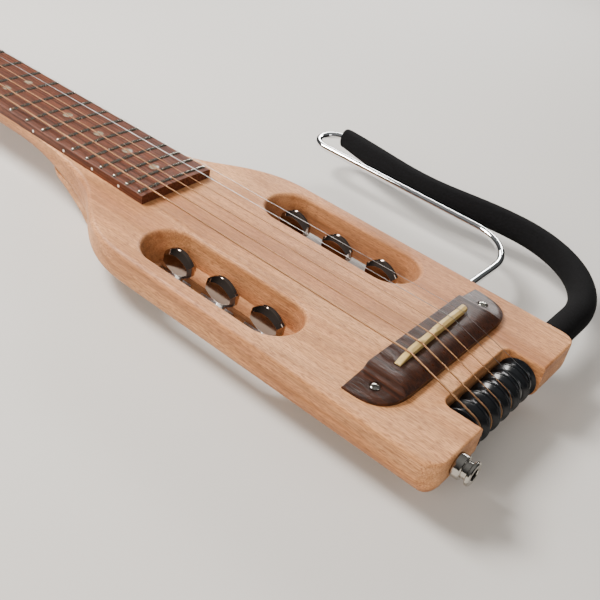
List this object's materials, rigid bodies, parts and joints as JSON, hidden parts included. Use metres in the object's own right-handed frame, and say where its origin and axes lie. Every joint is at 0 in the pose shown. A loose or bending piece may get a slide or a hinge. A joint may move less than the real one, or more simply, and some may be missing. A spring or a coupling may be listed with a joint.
{
  "type": "travel guitar",
  "caption": "Headless travel guitar: one-piece wooden body and neck, strings round rollers at the tail to in-body tuners, bent-rod lap rest.",
  "frame": {"origin": "on the flat back of the lower block, on the centre line, 185 mm in front of the saddle line", "axes": "+X along the neck toward the nut, +Y toward the bass side, +Z out of the playing face"},
  "size_m": [0.7205, 0.2428, 0.045],
  "materials": {
    "body_wood": "open-grained pale wood, satin oil",
    "fretboard_wood": "reddish-brown, bare and fine-grained",
    "bridge_wood": "dark brown with reddish streaks, satin",
    "bone": "cream, polished",
    "nickel": "nickel plate",
    "steel": "plain steel",
    "chrome": "bright chrome plate",
    "brass": "turned brass",
    "bronze_winding": "bronze winding on steel",
    "plain_string": "plain tinned steel",
    "black_roller": "gloss black",
    "pickup": "copper braid",
    "lead": "black insulation",
    "foam": "dark grey closed-cell foam"
  },
  "bodies": {
    "guitar": {"body_and_neck": "body_wood", "fretboard": "fretboard_wood", "nut": "bone", "string_anchor": "steel", "anchor_screw_treble": "steel", "anchor_screw_bass": "steel", "truss_rod": "steel", "truss_rod_nut": "brass", "bridge": "bridge_wood", "saddle": "bone", "pickup_strip": "pickup", "pickup_lead": "lead", "bridge_screw_treble": "nickel", "bridge_screw_bass": "nickel", "output_jack": "nickel", "roller_axle": "steel", "lap_rest_socket_front": "nickel", "lap_rest_socket_rear": "nickel", "tuner_housing_1": "steel", "tuner_housing_2": "steel", "tuner_housing_3": "steel", "tuner_housing_4": "steel", "tuner_housing_5": "steel", "tuner_housing_6": "steel", "tuner_screw_1": "steel", "tuner_screw_2": "steel", "tuner_screw_3": "steel", "tuner_screw_4": "steel", "tuner_screw_5": "steel", "tuner_screw_6": "steel", "string_1": "plain_string", "string_2": "plain_string", "string_3": "bronze_winding", "string_4": "bronze_winding", "string_5": "bronze_winding", "string_6": "bronze_winding"},
    "key_1": {"tuner_key_1": "chrome"},
    "post_1": {"tuner_post_1": "brass"},
    "roller_1": {"roller_1": "black_roller"},
    "key_2": {"tuner_key_2": "chrome"},
    "post_2": {"tuner_post_2": "brass"},
    "roller_2": {"roller_2": "black_roller"},
    "key_3": {"tuner_key_3": "chrome"},
    "post_3": {"tuner_post_3": "brass"},
    "roller_3": {"roller_3": "black_roller"},
    "key_4": {"tuner_key_4": "chrome"},
    "post_4": {"tuner_post_4": "brass"},
    "roller_4": {"roller_4": "black_roller"},
    "key_5": {"tuner_key_5": "chrome"},
    "post_5": {"tuner_post_5": "brass"},
    "roller_5": {"roller_5": "black_roller"},
    "key_6": {"tuner_key_6": "chrome"},
    "post_6": {"tuner_post_6": "brass"},
    "roller_6": {"roller_6": "black_roller"},
    "lap_rest": {"lap_rest_rod": "chrome", "lap_rest_foam": "foam"}
  },
  "joints": [
    {"name": "key_1_turn", "type": "hinge", "parent": "guitar", "child": "key_1", "pos_m": [-0.1357, -0.0415, 0.014], "axis": [0, 0, 1], "continuous": true},
    {"name": "post_1_turn", "type": "hinge", "parent": "guitar", "child": "post_1", "pos_m": [-0.1285, -0.03, 0.0062], "axis": [0, 1, 0], "continuous": true},
    {"name": "roller_1_turn", "type": "hinge", "parent": "guitar", "child": "roller_1", "pos_m": [-0.232, -0.02482, 0.0229], "axis": [0, 1, 0], "continuous": true},
    {"name": "key_2_turn", "type": "hinge", "parent": "guitar", "child": "key_2", "pos_m": [-0.1037, -0.0415, 0.014], "axis": [0, 0, 1], "continuous": true},
    {"name": "post_2_turn", "type": "hinge", "parent": "guitar", "child": "post_2", "pos_m": [-0.0965, -0.03, 0.0062], "axis": [0, 1, 0], "continuous": true},
    {"name": "roller_2_turn", "type": "hinge", "parent": "guitar", "child": "roller_2", "pos_m": [-0.232, -0.0149, 0.0229], "axis": [0, 1, 0], "continuous": true},
    {"name": "key_3_turn", "type": "hinge", "parent": "guitar", "child": "key_3", "pos_m": [-0.0717, -0.0415, 0.014], "axis": [0, 0, 1], "continuous": true},
    {"name": "post_3_turn", "type": "hinge", "parent": "guitar", "child": "post_3", "pos_m": [-0.0645, -0.03, 0.0062], "axis": [0, 1, 0], "continuous": true},
    {"name": "roller_3_turn", "type": "hinge", "parent": "guitar", "child": "roller_3", "pos_m": [-0.232, -0.00496, 0.0229], "axis": [0, 1, 0], "continuous": true},
    {"name": "key_4_turn", "type": "hinge", "parent": "guitar", "child": "key_4", "pos_m": [-0.0595, 0.0415, 0.014], "axis": [0, 0, 1], "continuous": true},
    {"name": "post_4_turn", "type": "hinge", "parent": "guitar", "child": "post_4", "pos_m": [-0.0523, 0.03, 0.0062], "axis": [0, 1, 0], "continuous": true},
    {"name": "roller_4_turn", "type": "hinge", "parent": "guitar", "child": "roller_4", "pos_m": [-0.232, 0.00496, 0.0229], "axis": [0, 1, 0], "continuous": true},
    {"name": "key_5_turn", "type": "hinge", "parent": "guitar", "child": "key_5", "pos_m": [-0.0915, 0.0415, 0.014], "axis": [0, 0, 1], "continuous": true},
    {"name": "post_5_turn", "type": "hinge", "parent": "guitar", "child": "post_5", "pos_m": [-0.0843, 0.03, 0.0062], "axis": [0, 1, 0], "continuous": true},
    {"name": "roller_5_turn", "type": "hinge", "parent": "guitar", "child": "roller_5", "pos_m": [-0.232, 0.0149, 0.0229], "axis": [0, 1, 0], "continuous": true},
    {"name": "key_6_turn", "type": "hinge", "parent": "guitar", "child": "key_6", "pos_m": [-0.1235, 0.0415, 0.014], "axis": [0, 0, 1], "continuous": true},
    {"name": "post_6_turn", "type": "hinge", "parent": "guitar", "child": "post_6", "pos_m": [-0.1163, 0.03, 0.0062], "axis": [0, 1, 0], "continuous": true},
    {"name": "roller_6_turn", "type": "hinge", "parent": "guitar", "child": "roller_6", "pos_m": [-0.232, 0.02482, 0.0229], "axis": [0, 1, 0], "continuous": true},
    {"name": "lap_rest_pull", "type": "slide", "parent": "guitar", "child": "lap_rest", "axis": [0, -1, 0], "range_m": [0, 0.03]}
  ],
  "couplings": [
    {"joint": "post_1_turn", "follows": "key_1_turn", "ratio": 0.07143},
    {"joint": "roller_1_turn", "follows": "key_1_turn", "ratio": -0.02489},
    {"joint": "post_2_turn", "follows": "key_2_turn", "ratio": 0.07143},
    {"joint": "roller_2_turn", "follows": "key_2_turn", "ratio": -0.02529},
    {"joint": "post_3_turn", "follows": "key_3_turn", "ratio": 0.07143},
    {"joint": "roller_3_turn", "follows": "key_3_turn", "ratio": -0.02601},
    {"joint": "post_4_turn", "follows": "key_4_turn", "ratio": 0.07143},
    {"joint": "roller_4_turn", "follows": "key_4_turn", "ratio": -0.02673},
    {"joint": "post_5_turn", "follows": "key_5_turn", "ratio": 0.07143},
    {"joint": "roller_5_turn", "follows": "key_5_turn", "ratio": -0.02767},
    {"joint": "post_6_turn", "follows": "key_6_turn", "ratio": 0.07143},
    {"joint": "roller_6_turn", "follows": "key_6_turn", "ratio": -0.02868}
  ]
}
